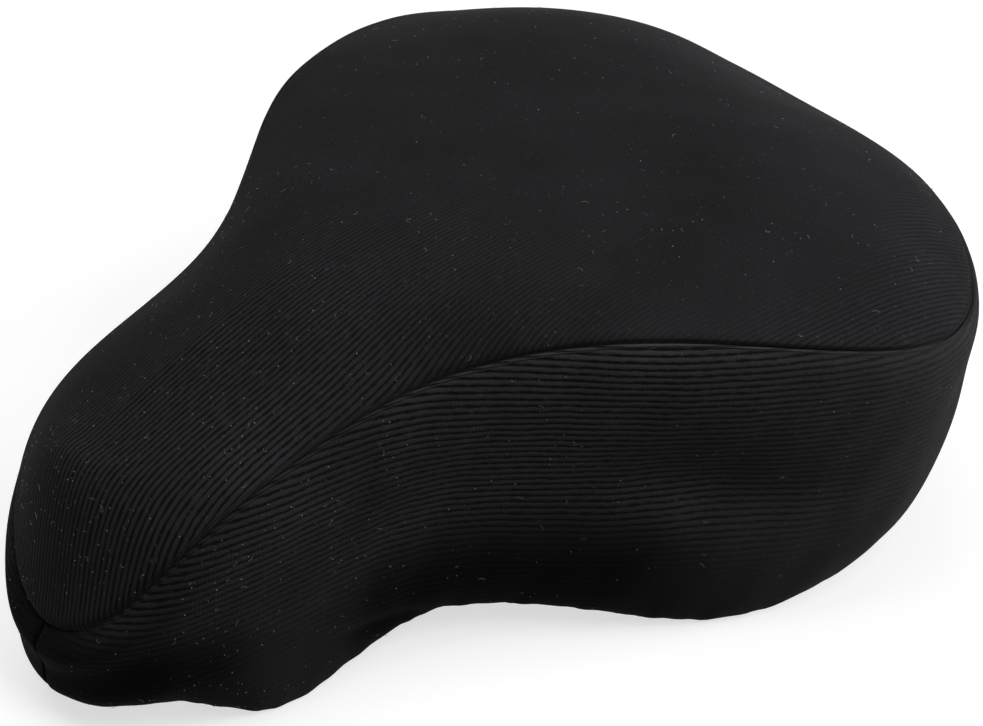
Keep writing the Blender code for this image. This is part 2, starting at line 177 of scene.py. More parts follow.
def sections(place):
    """The sections at distances along the widest line, measured from the nose."""
    at = SimpleNamespace(foot=spline(plan_knots, plan_points, place))
    at.y = at.foot[:, 1]
    at.crown = centre_points(at.y, CROWN_START_Y)
    at.outward = unit(at.foot - centre_points(at.y, WALL_CENTRE_Y))
    at.inset = along(SEAM_INSET, at.y)
    at.seam = at.foot - at.outward * at.inset[:, None]
    at.radius = np.linalg.norm(at.seam - at.crown, axis=1)
    at.crown_z = along(CROWN_HEIGHT, at.crown[:, 1])
    at.seam_z = along(SEAM_HEIGHT, at.y)
    return at


def evenly(curve, distances):
    """Points of a flat curve at the distances that are asked for, given its length."""
    legs = np.hypot(*np.diff(curve, axis=0).T)
    reach = np.concatenate(([0.0], np.cumsum(legs)))
    at = distances(reach[-1])
    return np.stack((np.interp(at, reach, curve[:, 0]), np.interp(at, reach, curve[:, 1])), axis=1)


# %% [markdown]
# ## The two surfaces of the cover
# The seat is a dome that is nearly flat along its middle and falls away towards the seam.
# The wall drops from the seam, bulges a little, and tucks under to the hem. Both are given
# at any distance from the seam, so the rows of a mesh can be as close as we like where
# something small happens, such as the rolled edge.

# %% The domed seat and the wall
SECTION_STEPS = 140


def seat_surface(place, distances):
    at = sections(place)
    share = np.linspace(1, 0, SECTION_STEPS)
    heading = unit(at.seam - at.crown)
    rows = []
    for i in range(len(place)):
        height = at.crown_z[i] + (at.seam_z[i] - at.crown_z[i]) * share**DOME_POWER
        section = evenly(np.stack((at.radius[i] * share, height), axis=1), distances)
        rows.append(np.column_stack((at.crown[i] + heading[i] * section[:, :1], section[:, 1])))
    return np.array(rows)


def wall_surface(place, distances):
    at = sections(place)
    hem_z = along(HEM_HEIGHT, at.y)
    hem_inset = along(HEM_INSET, at.y)
    offsets = np.stack((
        -at.inset, np.zeros_like(at.y), -along(HOLLOW_INSET, at.y), -along(LOWER_INSET, at.y),
        -hem_inset, -hem_inset - HOOK_IN), axis=1)
    levels = [at.seam_z - share * (at.seam_z - hem_z) for share in WALL_SHARES]
    levels = np.stack(levels + [hem_z + HOOK_UP], axis=1)
    slope = DOME_POWER * (at.seam_z - at.crown_z) / at.radius
    dome = unit(np.stack((np.ones_like(slope), slope), axis=1))
    slopes = unit((1 - WALL_LEAN) * dome + WALL_LEAN * np.array((0.0, -1.0)))
    rows = []
    for i in range(len(place)):
        guide = np.stack((offsets[i], levels[i]), axis=1)
        reach = np.concatenate(([0.0], np.cumsum(np.hypot(*np.diff(guide, axis=0).T))))
        curve = spline(reach, guide, np.linspace(0, reach[-1], SECTION_STEPS), slopes[i])
        section = evenly(curve, distances)
        rows.append(np.column_stack((at.foot[i] + at.outward[i] * section[:, :1], section[:, 1])))
    return np.array(rows)


# %% Normals of a surface, and the frame of the seam that both panels share
PROBE = 0.05 * MM
SEAM_STEP = 0.5 * MM
SEAM_LOOK = 3 * MM


def with_normals(surface, place, distances, turn):
    """The points of a surface, its normals, and the way onward along each row."""
    points = surface(place, distances)
    ahead = surface(place + PROBE, distances) - surface(place - PROBE, distances)

    def shifted(shift):
        return lambda length: np.clip(distances(length) + shift, 0, length)

    down = surface(place, shifted(PROBE)) - surface(place, shifted(-PROBE))
    return points, unit(np.cross(ahead, down)) * turn, unit(ahead)


def seam_frame(place):
    """Points of the seam, with the normal there and the way across it, down the wall."""
    def curve(place):
        at = sections(place)
        return np.column_stack((at.seam, at.seam_z))

    seam = curve(place)
    onward = unit(curve(place + SEAM_STEP) - curve(place - SEAM_STEP))
    above = seat_surface(place, lambda length: np.array((SEAM_LOOK,)))[:, 0]
    below = wall_surface(place, lambda length: np.array((SEAM_LOOK,)))[:, 0]
    normal = unit(np.cross(unit(seam - above) + unit(below - seam), onward))
    return seam, normal, unit(np.cross(onward, normal))


# %% [markdown]
# ## Soft relief
# Stretched knit is never perfectly fair. It puffs up beside a seam, sinks where nothing
# holds it from behind, and gathers above the elastic. A cloth simulation could find such
# forms, but this cover is pulled tight over a saddle that isn't here, so there is nothing
# for it to fall on. Small moves along the normal, in named amounts, are surer.

# %% Waves with a fixed seed, and the swelling beside a seam
CLOTH = 1.0 * MM
SEAM_GAP = 0.3 * MM
ROLL = 1.25 * MM
ALLOWANCE = 6 * MM
PUFF = 0.45 * MM
PUFF_REACH = 2.2 * MM
OCTAVES = 5
OCTAVE_RATIO = 1.45


def waves(u, v, longest, seed):
    """A gentle unevenness between about -1 and 1."""
    dice = np.random.default_rng(seed)
    total = np.zeros(np.broadcast(u, v).shape)
    for octave in range(OCTAVES):
        angle = dice.uniform(0, math.pi)
        start = dice.uniform(0, 2 * math.pi)
        wave = longest / OCTAVE_RATIO**octave
        total += np.sin(2 * math.pi * (u * math.cos(angle) + v * math.sin(angle)) / wave + start)
    return total / 3


def hump(x, middle, width):
    return np.exp(-((x - middle) / width) ** 2)


def puffed(distance):
    """The swelling beside a seam: nothing at the roll, most a little way off, then less."""
    away = np.maximum(distance - ROLL - SEAM_GAP / 2, 0) / PUFF_REACH
    return PUFF * away * np.exp(1 - away)


# %% The relief of the seat
VALLEY = SimpleNamespace(depth=1.9 * MM, width=24 * MM, start_y=18 * MM, run=80 * MM)
LOBE = SimpleNamespace(height=1.3 * MM, x=62 * MM, width=26 * MM)
SEAT_EASE = 14 * MM
SEAT_WAVE = SimpleNamespace(height=0.16 * MM, longest=90 * MM, seed=3)


def seat_relief(x, y, back):
    """A valley down the middle of the tail, between two low lobes, and a slight unevenness."""
    tail = eased((y - VALLEY.start_y) / VALLEY.run)
    lobes = LOBE.height * hump(abs(x), LOBE.x, LOBE.width)
    valley = lobes - VALLEY.depth * hump(x, 0, VALLEY.width)
    ease = np.clip((back - ROLL) / SEAT_EASE, 0, 1)
    uneven = SEAT_WAVE.height * waves(x, y, SEAT_WAVE.longest, SEAT_WAVE.seed)
    return puffed(back) + ease * (valley * tail + uneven)


# %% The relief of the wall, placed by its share of the side's length and its height above the hem
HOLLOW = SimpleNamespace(depth=4.0 * MM, run=0.495, length=0.06, above=61 * MM, height=12 * MM)
CREASE = SimpleNamespace(depth=1.4 * MM, run=0.26, length=0.06, above=22 * MM, fall=157 * MM, width=2.4 * MM)
GATHER = SimpleNamespace(height=0.13 * MM, pitch=8.5 * MM, reach=24 * MM, wander=1.6)
WALL_PUFF = 0.6
WALL_EASE = 8 * MM
WALL_WAVE = SimpleNamespace(height=0.30 * MM, longest=70 * MM)


def wall_relief(place, down, above, seed):
    """A hollow in the wing, a slanting crease behind the pouch, gathers, and unevenness."""
    place = place[:, None]
    run = place / SIDE_LENGTH
    ease = np.clip((down - ROLL) / WALL_EASE, 0, 1) * np.clip(above / WALL_EASE, 0, 1)
    sink = -HOLLOW.depth * hump(run, HOLLOW.run, HOLLOW.length) * hump(above, HOLLOW.above, HOLLOW.height)
    crease_line = CREASE.above - CREASE.fall * (run - CREASE.run)
    crease = -CREASE.depth * hump(above, crease_line, CREASE.width) * hump(run, CREASE.run, CREASE.length)
    uneven = WALL_WAVE.height * waves(place, above, WALL_WAVE.longest, seed + 1)
    swell = np.sin(math.pi * np.clip(above / GATHER.reach, 0, 1)) ** 2
    wander = GATHER.wander * waves(place, 0 * above, WALL_WAVE.longest, seed)
    gather = GATHER.height * np.sin(2 * math.pi * place / GATHER.pitch + wander) * swell
    return WALL_PUFF * puffed(down) + ease * (sink + crease + uneven) + gather


# %% [markdown]
# ## From lines to cloth
# Each panel is a grid of points, with a flat place in the cloth for every point. That flat
# place becomes the piece's UV map, in metres, so the ribs of the knit follow the cloth and
# not the room: on the seat they run from nose to tail, and on the wall they run level with
# the hem until the seam cuts them off.

# %% Rolled edges and fine rows
ANGLES = np.radians(np.linspace(90, 0, 5))
COLUMN_GAP = 1.7 * MM
edge_near = SEAM_GAP / 2 + ROLL * (1 - np.sin(ANGLES))
edge_depth = ROLL * (1 - np.cos(ANGLES))
ROLL_END = edge_near[-1]
ROLL_COLUMNS = len(edge_near) - 1
quarter = ROLL * math.pi / 2
beyond = np.concatenate(((ALLOWANCE + quarter, ALLOWANCE / 2 + quarter), ROLL * ANGLES[:-1]))
EDGE_ROWS = len(beyond)
print("rows of a rolled edge:", EDGE_ROWS)


def columns():
    """Places of the columns, and how deep each is rolled in at the two ends."""
    count = round(SIDE_LENGTH / COLUMN_GAP)
    middle = np.linspace(ROLL_END, SIDE_LENGTH - ROLL_END, count)
    place = np.concatenate((edge_near[:-1], middle, SIDE_LENGTH - edge_near[-2::-1]))
    return place, np.concatenate((edge_depth[:-1], np.zeros(count), edge_depth[-2::-1]))


def rolled_rows(seam, normal, across, side):
    """Rows of a seam allowance and of the roll that leads to it, above or below the seam."""
    centre = seam + side * across * ROLL_END - normal * ROLL
    edge = seam + side * across * edge_near[0] - normal * ROLL
    rows = [edge - normal * ALLOWANCE, edge - normal * ALLOWANCE / 2, edge]
    for angle in ANGLES[1:-1]:
        rows.append(centre + ROLL * (normal * math.cos(angle) - side * across * math.sin(angle)))
    return np.stack(rows, axis=1)


# %% A mesh object from grids of points
WELD = 0.01 * MM
SHARP_ANGLE = math.radians(55)


def grid_faces(first, columns, rows, flip):
    """The faces of a grid whose points start at a given number, turned over if flip is true."""
    faces = []
    for i in range(columns - 1):
        for j in range(rows - 1):
            a = first + i * rows + j
            face = (a, a + rows, a + rows + 1, a + 1)
            faces.append(face[::-1] if flip else face)
    return faces


def placed_in_room(name, data):
    thing = bpy.data.objects.new(name, data)
    bpy.context.scene.collection.objects.link(thing)
    return thing


def made_plain(thing):
    """Replaces an object by the plain mesh that its modifiers make."""
    name = thing.name
    graph = bpy.context.evaluated_depsgraph_get()
    shown = thing.evaluated_get(graph)
    data = bpy.data.meshes.new_from_object(shown, preserve_all_data_layers=True, depsgraph=graph)
    bpy.data.objects.remove(thing)
    data.name = name
    data.set_sharp_from_angle(angle=SHARP_ANGLE)
    return placed_in_room(name, data)


def cloth_object(name, grids, thickness):
    """Joins grids of points into one sheet, gives it its flat UV map, and thickens it inwards."""
    points, flats, faces = [], [], []
    for grid, flat, flip in grids:
        faces.extend(grid_faces(len(points), *grid.shape[:2], flip))
        points.extend(grid.reshape(-1, 3))
        flats.extend(flat.reshape(-1, 2))
    data = bpy.data.meshes.new(name)
    data.from_pydata([tuple(p) for p in points], [], faces)
    map_data = data.uv_layers.new(name="cloth")
    corner = np.zeros(len(data.loops), int)
    data.loops.foreach_get("vertex_index", corner)
    map_data.data.foreach_set("uv", np.array(flats, np.float32)[corner].ravel())
    mesh = bmesh.new()
    mesh.from_mesh(data)
    bmesh.ops.remove_doubles(mesh, verts=mesh.verts, dist=WELD)
    mesh.to_mesh(data)
    mesh.free()
    data.shade_smooth()
    sheet = placed_in_room(name, data)
    solid = sheet.modifiers.new("Cloth thickness", "SOLIDIFY")
    solid.thickness = thickness
    solid.offset = -1.0
    solid.use_quality_normals = True
    return made_plain(sheet)


def kept_aside(panel, side):
    """Keeps a side panel on its own side of the centre plane, and above the floor."""
    for vertex in panel.data.vertices:
        vertex.co.x = side * max(side * vertex.co.x, SEAM_GAP / 2)
        vertex.co.z = max(vertex.co.z, 0.0)
    return panel


# %% The seat panel, which also notes where the seam's thread and the outer skin lie
SEAT_ROWS = 47
SEAT_CROWDING = 1.25
THREAD_DEPTH = 0.8 * MM
thread_lines = []
skin_grids = []


def seat_panel():
    place = columns()[0]
    place = np.concatenate(([0.0], place[1:-1], [SIDE_LENGTH]))
    seam, seam_normal, across = seam_frame(place)
    deep = seam - seam_normal * (ROLL + THREAD_DEPTH) - TO_GROUND
    thread_lines.append(np.vstack((deep, deep[::-1] * np.array((-1.0, 1.0, 1.0)))))

    def distances(length):
        share = np.linspace(0, 1, SEAT_ROWS) ** SEAT_CROWDING
        return ROLL_END + (length - ROLL_END) * share

    smooth, normals = with_normals(seat_surface, place, distances, 1.0)[:2]
    normals[:, -1] = (0.0, 0.0, 1.0)
    back = np.linalg.norm(smooth - seam[:, None], axis=2)
    grid = np.concatenate((rolled_rows(seam, seam_normal, across, -1), smooth), axis=1)
    heading = unit(across[:, :2])
    edge_flat = seam[:, None, :2] + heading[:, None] * beyond[None, :, None]
    flat = np.concatenate((edge_flat, smooth[..., :2]), axis=1)
    halves = []
    for side in (1, -1):
        move = seat_relief(side * smooth[..., 0], smooth[..., 1], back)
        half = grid.copy()
        half[:, EDGE_ROWS:] += normals * move[..., None]
        half[(0, -1), :, 0] = 0.0
        half[:, -1, 0] = 0.0
        half = half * np.array((side, 1.0, 1.0)) - TO_GROUND
        halves.append((half, flat * np.array((side, 1.0)), side < 0))
        skin_grids.append((half[:, EDGE_ROWS + 1:-1], side < 0))
    return cloth_object("seat_cloth", halves, CLOTH)


# %% The hem turned up round the elastic, and the allowances of the two end seams
HEM_TURN = 10 * MM
HEM_ROWS = 6
FOLD_RADIUS = 3.65 * MM
FOLD_STEPS = 8
HEM_CLEARANCE = 0.4 * MM


def turned_hem(points, normals, ahead, hem_z):
    """The rows that go round the cord and then up behind the wall, with their flat heights."""
    edge, normal = points[:, -1], normals[:, -1]
    cord = edge - normal * FOLD_RADIUS
    onward = unit(np.cross(ahead[:, -1], normal))
    rows, flats = [], []
    for angle in np.linspace(0, math.pi, FOLD_STEPS + 1)[1:]:
        rows.append(cord + FOLD_RADIUS * (normal * math.cos(angle) + onward * math.sin(angle)))
        flats.append(hem_z - FOLD_RADIUS * angle)
    depths = np.linspace(2 * FOLD_RADIUS, 2 * CLOTH + HEM_CLEARANCE, HEM_ROWS)
    for i in range(1, HEM_ROWS):
        rows.append(points[:, -1 - i] - normals[:, -1 - i] * depths[i])
        flats.append(hem_z - FOLD_RADIUS * math.pi - i * HEM_TURN / HEM_ROWS)
    return np.stack(rows, axis=1), np.stack(flats, axis=1)


def end_allowance(column, normal, flat, rows):
    """A strip that runs inwards from an end column, down to where the hem begins to turn."""
    last = rows - HEM_ROWS - 2
    edge = column[2:last]
    inner = edge - normal[2:last] * ALLOWANCE
    middle = edge - normal[2:last] * ALLOWANCE / 2
    inner[0], middle[0] = column[0], column[1]
    shift = np.array((0.0, ALLOWANCE / 2))
    return np.stack((edge, middle, inner)), np.stack([flat[2:last] - k * shift for k in range(3)])


# %% The wall of a side panel
WALL_ROWS = 34
WALL_CROWDING = 1.1
FINE_HEIGHT = 24 * MM
FINE_ROWS = 9
END_FADE = SimpleNamespace(height=14 * MM, start=0.4, far_up=40 * MM)


def end_fall(depth, height, rows):
    """How far each point sinks so that the end columns roll in, fading out towards the hem."""
    row_depth = np.concatenate(([ROLL] * 3, edge_depth[1:-1], np.zeros(rows - EDGE_ROWS)))
    row_height = np.concatenate((np.full(EDGE_ROWS, END_FADE.far_up), height[0]))
    fade = np.clip(row_height / END_FADE.height - END_FADE.start, 0, 1)
    return np.maximum(depth[:, None] - row_depth[None], 0) * fade[None]


def wall_points(place, depth, seed):
    """A wall with its relief and the rolled edge above it: points, normals and heights."""
    fine = np.linspace(FINE_HEIGHT, HEM_TURN, FINE_ROWS + 1)[1:]
    above = np.concatenate((fine, np.linspace(HEM_TURN, 0, HEM_ROWS + 1)[1:]))

    def distances(length):
        share = np.linspace(0, 1, WALL_ROWS) ** WALL_CROWDING
        upper = ROLL_END + (length - FINE_HEIGHT - ROLL_END) * share
        return np.concatenate((upper, length - above))

    smooth, normals, ahead = with_normals(wall_surface, place, distances, -1.0)
    legs = np.linalg.norm(np.diff(smooth, axis=1), axis=2)
    climbed = np.cumsum(legs[:, ::-1], axis=1)[:, ::-1]
    height = np.concatenate((climbed, np.zeros((len(place), 1))), axis=1)
    down = ROLL_END + height[:, :1] - height
    smooth = smooth + normals * wall_relief(place, down, height, seed)[..., None]
    seam, seam_normal, across = seam_frame(place)
    rolled_normals = np.repeat(seam_normal[:, None], EDGE_ROWS, axis=1)
    normals = np.concatenate((rolled_normals, normals), axis=1)
    normals[(0, -1), :, 0] = 0.0
    normals = unit(normals)
    points = np.concatenate((rolled_rows(seam, seam_normal, across, 1), smooth), axis=1)
    points = points - normals * end_fall(depth, height, points.shape[1])[..., None]
    points[(0, -1), :, 0] = SEAM_GAP / 2
    return points, normals, ahead, height


# %% The side panels, which also note where the hem's stitches lie
THREAD_SHARE = 0.25
hem_lines = {}


def side_panel(name, side, seed):
    place, depth = columns()
    points, normals, ahead, height = wall_points(place, depth, seed)
    rows = points.shape[1]

    # The turned-up hem, and the flat place of every point
    hem_z = along(HEM_HEIGHT, sections(place).y)
    cloth_height = np.concatenate((height[:, :1] + ROLL_END + beyond[None], height), axis=1)
    turned, turned_height = turned_hem(points, normals, ahead, hem_z)
    points = np.concatenate((points, turned), axis=1)
    cloth_height = np.concatenate((cloth_height + hem_z[:, None], turned_height), axis=1)
    flat = np.stack((cloth_height, np.repeat(place[:, None], points.shape[1], axis=1)), axis=2)

    # The allowances of the end seams, with the thread between those of the two side panels
    grids = [(points, flat, True)]
    for end, flip in ((0, False), (-1, True)):
        strip, strip_flat = end_allowance(points[end], normals[end], flat[end], rows)
        grids.append((strip, strip_flat, flip))
        if side > 0:
            between = (1.0 - THREAD_SHARE) * strip[0] + THREAD_SHARE * strip[1]
            thread_lines.append(between * np.array((0.0, 1.0, 1.0)) - TO_GROUND)
    placed = []
    for grid, flat, flip in grids:
        turned_over = flip if side > 0 else not flip
        placed.append(((grid - TO_GROUND) * np.array((side, 1.0, 1.0)), flat, turned_over))
    wall, _, flip = placed[0]
    skin_grids.append((wall[ROLL_COLUMNS:-ROLL_COLUMNS, EDGE_ROWS + 1:rows - 2], flip))
    hem_lines[side] = wall[:, rows - HEM_ROWS - 1]
    return kept_aside(cloth_object(name, placed, CLOTH), side)


# %% Make the three panels, and a bare skin for the lint to lie on
def skin_object(name):
    """The outer face alone of all three panels."""
    points, faces = [], []
    for grid, flip in skin_grids:
        faces.extend(grid_faces(len(points), *grid.shape[:2], flip))
        points.extend(tuple(point) for point in grid.reshape(-1, 3))
    data = bpy.data.meshes.new(name)
    data.from_pydata(points, [], faces)
    return placed_in_room(name, data)


seat = seat_panel()
left = side_panel("left_cloth", 1, 11)
right = side_panel("right_cloth", -1, 23)
for cloth in (seat, left, right):
    print(cloth.name, len(cloth.data.polygons), "faces", [round(1000 * x, 1) for x in cloth.dimensions])


# %% [markdown]
# ## Geometry Nodes for what repeats
# A hem holds about a hundred stitches a side, and a worn cover carries well over a thousand
# bits of lint. Copies of one small shape, set out by a node tree, are quicker and more even
# than placing each by hand. Short helpers keep each tree readable: one adds a node and fills
# in its sockets, from numbers or from the sockets of other nodes.

# %% Helpers for node trees
def add_node(tree, kind, inputs=(), **settings):
    node = tree.nodes.new(kind)
    for name, value in settings.items():
        setattr(node, name, value)
    for name, value in dict(inputs).items():
        socket = node.inputs[name]
        if isinstance(value, bpy.types.NodeSocket):
            tree.links.new(value, socket)
        else:
            socket.default_value = value
    return node


def maths(tree, operation, first, second=0.0, third=0.0):
    return add_node(tree, "ShaderNodeMath", {0: first, 1: second, 2: third}, operation=operation).outputs[0]


def ramp(tree, value, low, high, at_low, at_high, kind="SMOOTHSTEP"):
    """A number that goes from at_low to at_high as the value goes from low to high."""
    return add_node(tree, "ShaderNodeMapRange", {
        "Value": value, "From Min": low, "From Max": high, "To Min": at_low, "To Max": at_high},
        interpolation_type=kind).outputs[0]


def new_tree(name, kind, inputs, outputs):
    """A node group with its named inputs, given as name: (socket type, value), and outputs."""
    tree = bpy.data.node_groups.new(name, kind)
    for label, (socket_type, value) in inputs.items():
        socket = tree.interface.new_socket(label, in_out="INPUT", socket_type=socket_type)
        if value is not None:
            socket.default_value = value
    for label, socket_type in outputs.items():
        tree.interface.new_socket(label, in_out="OUTPUT", socket_type=socket_type)
    return tree, tree.nodes.new("NodeGroupInput").outputs, tree.nodes.new("NodeGroupOutput").inputs


def grown(source, name, tree, values):
    """Runs a geometry tree on an object and returns what it makes, as a plain mesh object."""
    modifier = source.modifiers.new(name, "NODES")
    modifier.node_group = tree
    for item in tree.interface.items_tree:
        if item.item_type == "SOCKET" and item.in_out == "INPUT" and item.name in values:
            modifier[item.identifier] = values[item.name]
    graph = bpy.context.evaluated_depsgraph_get()
    data = bpy.data.meshes.new_from_object(source.evaluated_get(graph), depsgraph=graph)
    bpy.data.objects.remove(source)
    data.name = name
    data.shade_smooth()
    print(name, "has", len(data.polygons), "faces")
    return placed_in_room(name, data)


def finish_tree(tree, copies, material, result):
    """Ends a tree of copies: they become real faces, and take their material."""
    real = add_node(tree, "GeometryNodeRealizeInstances", {"Geometry": copies.outputs[0]})
    coloured = add_node(tree, "GeometryNodeSetMaterial", {"Geometry": real.outputs[0], "Material": material})
    tree.links.new(coloured.outputs[0], result)


# %% [markdown]
# ## Stitches and seam thread
# The turned-up hem is held by a row of straight stitches, seen on the outside as short bars
# of thread that sink into the cloth at both ends. The tree walks along a curve, drops a point
# at each stitch, and sets a small spindle of thread there, turned along the curve. In the
# seams the thread lies deep between the rolled edges. There it shows as one dark line at
# most, so it is a plain curve with a round section.

# %% Stitch tree and paths of thread
SEAM_THREAD = 0.5 * MM


def stitch_tree():
    tree, given, result = new_tree("stitch line", "GeometryNodeTree", {
        "Path": ("NodeSocketGeometry", None),
        "Stitch pitch": ("NodeSocketFloat", 3.2 * MM),
        "Stitch length": ("NodeSocketFloat", 2.3 * MM),
        "Thread thickness": ("NodeSocketFloat", 0.5 * MM),
        "Thread": ("NodeSocketMaterial", None)}, {"Stitches": "NodeSocketGeometry"})
    points = add_node(tree, "GeometryNodeCurveToPoints", {
        "Curve": given["Path"], "Length": given["Stitch pitch"]}, mode="LENGTH")
    ball = add_node(tree, "GeometryNodeMeshUVSphere", {"Segments": 8, "Rings": 6, "Radius": 0.5})
    size = add_node(tree, "ShaderNodeCombineXYZ", {
        "X": given["Thread thickness"], "Y": given["Thread thickness"], "Z": given["Stitch length"]})
    spindle = add_node(tree, "GeometryNodeTransform", {
        "Geometry": ball.outputs["Mesh"], "Scale": size.outputs[0]})
    copies = add_node(tree, "GeometryNodeInstanceOnPoints", {
        "Points": points.outputs["Points"], "Instance": spindle.outputs[0],
        "Rotation": points.outputs["Rotation"]})
    finish_tree(tree, copies, given["Thread"], result["Stitches"])
    return tree


def path_object(name, lines, thickness=0.0):
    """A curve through each line of places, with a round section if it has a thickness."""
    curve = bpy.data.curves.new(name, "CURVE")
    curve.dimensions = "3D"
    curve.bevel_depth = thickness / 2
    curve.bevel_resolution = 1
    for places in lines:
        path = curve.splines.new("POLY")
        path.points.add(len(places) - 1)
        for point, place in zip(path.points, places):
            point.co = (*place, 1.0)
    return placed_in_room(name, curve)


# %% [markdown]
# ## Lint
# Black knit shows every bit of lint: short pale fibres, loose curls and specks, thicker on
# the nose where hands and trousers rub it. The tree scatters points over the cloth, sets one
# of three tiny shapes on each, turns it at random about the normal, and keeps one seed, so
# every run gives the same cover.

# %% Lint tree
NOSE_SHARE, TAIL_SHARE = 1.0, 0.18
SMALLEST_BIT, LARGEST_BIT = 0.35, 1.1
SPECK_RADIUS = 0.18 * MM
FIBRE_START = (-0.9 * MM, 0, 0)
FIBRE_MIDDLE = (0.1 * MM, 0.7 * MM, 0.25 * MM)
FIBRE_END = (0.9 * MM, -0.1 * MM, 0.1 * MM)
SPECK_NUMBER = 2
LAST_DRAW = 7


def lint_shapes(tree, thickness):
    """A curl, a bent fibre and a speck, as instances numbered 0, 1 and 2."""
    section = add_node(tree, "GeometryNodeCurvePrimitiveCircle", {
        "Resolution": 3, "Radius": maths(tree, "MULTIPLY", thickness, 0.5)})
    curl = add_node(tree, "GeometryNodeCurveSpiral", {
        "Resolution": 9, "Rotations": 0.55, "Start Radius": 0.15 * MM, "End Radius": 0.75 * MM,
        "Height": 0.45 * MM})
    fibre = add_node(tree, "GeometryNodeCurveQuadraticBezier", {
        "Resolution": 6, "Start": FIBRE_START, "Middle": FIBRE_MIDDLE, "End": FIBRE_END})
    shapes = []
    for path in (curl, fibre):
        tube = add_node(tree, "GeometryNodeCurveToMesh", {
            "Curve": path.outputs[0], "Profile Curve": section.outputs[0], "Fill Caps": True})
        shapes.append(tube.outputs[0])
    speck = add_node(tree, "GeometryNodeMeshIcoSphere", {"Radius": SPECK_RADIUS, "Subdivisions": 1})
    shapes.append(speck.outputs[0])
    choice = tree.nodes.new("GeometryNodeJoinGeometry")
    for shape in shapes[::-1]:
        each = add_node(tree, "GeometryNodeGeometryToInstance", {0: shape})
        tree.links.new(each.outputs[0], choice.inputs[0])
    return choice.outputs[0]


def lint_tree():
    tree, given, result = new_tree("lint", "GeometryNodeTree", {
        "Cloth": ("NodeSocketGeometry", None),
        "Bits per square metre": ("NodeSocketFloat", 110000.0),
        "Fibre thickness": ("NodeSocketFloat", 0.09 * MM),
        "Seed": ("NodeSocketInt", 7),
        "Lint": ("NodeSocketMaterial", None)}, {"Bits": "NodeSocketGeometry"})

    def random_value(low, high, kind):
        return add_node(tree, "FunctionNodeRandomValue", {"Min": low, "Max": high, "Seed": given["Seed"]},
                        data_type=kind)

    # Fewer bits towards the tail, in soft patches
    place = add_node(tree, "GeometryNodeInputPosition").outputs[0]
    y = add_node(tree, "ShaderNodeSeparateXYZ", {0: place}).outputs["Y"]
    by_nose = ramp(tree, y, NOSE_Y, 0.0, NOSE_SHARE, TAIL_SHARE, "LINEAR")
    cloudy = add_node(tree, "ShaderNodeTexNoise", {"Vector": place, "Scale": 55.0, "Detail": 2.0}).outputs[0]
    patches = ramp(tree, cloudy, 0.40, 0.66, 0.12, 1.0, "LINEAR")
    chance = maths(tree, "MULTIPLY", by_nose, patches)
    points = add_node(tree, "GeometryNodeDistributePointsOnFaces", {
        "Mesh": given["Cloth"], "Density": maths(tree, "MULTIPLY", chance, given["Bits per square metre"]),
        "Seed": given["Seed"]})

    # Every draw from 2 to 7 is a speck, so most bits are specks
    draw = random_value(0, LAST_DRAW, "INT").outputs[2]
    spin = add_node(tree, "FunctionNodeAxisAngleToRotation", {
        "Axis": (0, 0, 1), "Angle": random_value(0.0, 6.283, "FLOAT").outputs[1]})
    turned = add_node(tree, "FunctionNodeRotateRotation", {
        "Rotation": points.outputs["Rotation"], "Rotate By": spin.outputs[0]}, rotation_space="LOCAL")
    copies = add_node(tree, "GeometryNodeInstanceOnPoints", {
        "Points": points.outputs["Points"], "Instance": lint_shapes(tree, given["Fibre thickness"]),
        "Pick Instance": True, "Instance Index": maths(tree, "MINIMUM", draw, float(SPECK_NUMBER)),
        "Rotation": turned.outputs[0],
        "Scale": random_value(SMALLEST_BIT, LARGEST_BIT, "FLOAT").outputs[1]})
    finish_tree(tree, copies, given["Lint"], result["Bits"])
    return tree


# %% [markdown]
# ## The look of rib knit
# Up close the cloth is rows of rounded ribs, each a chain of V-shaped stitches, with a shaded
# furrow between two ribs. All of it is far too fine to model, and it follows the cloth, so it
# is a pattern on the UV map. One node group gives a height for the bump and a mask for the
# furrows, where the knits paint shade. Each of the two knits below uses it with its own values.

# %% The rib group
DRIFT_SCALE, YARN_SCALE, FUZZ_SCALE = 45.0, 1100.0, 2600.0
YARN_STRETCH = (1.0, 0.30, 1.0)
YARN_UNEVEN = 1.1
ROUNDNESS = 0.96
STITCH_SLANT = 0.42
STITCH_HEIGHT = 0.10
FUZZ_HEIGHT = 0.30
FURROW_FROM, FURROW_TO = 0.35, 0.85
SMEARED_SHADE = 0.52


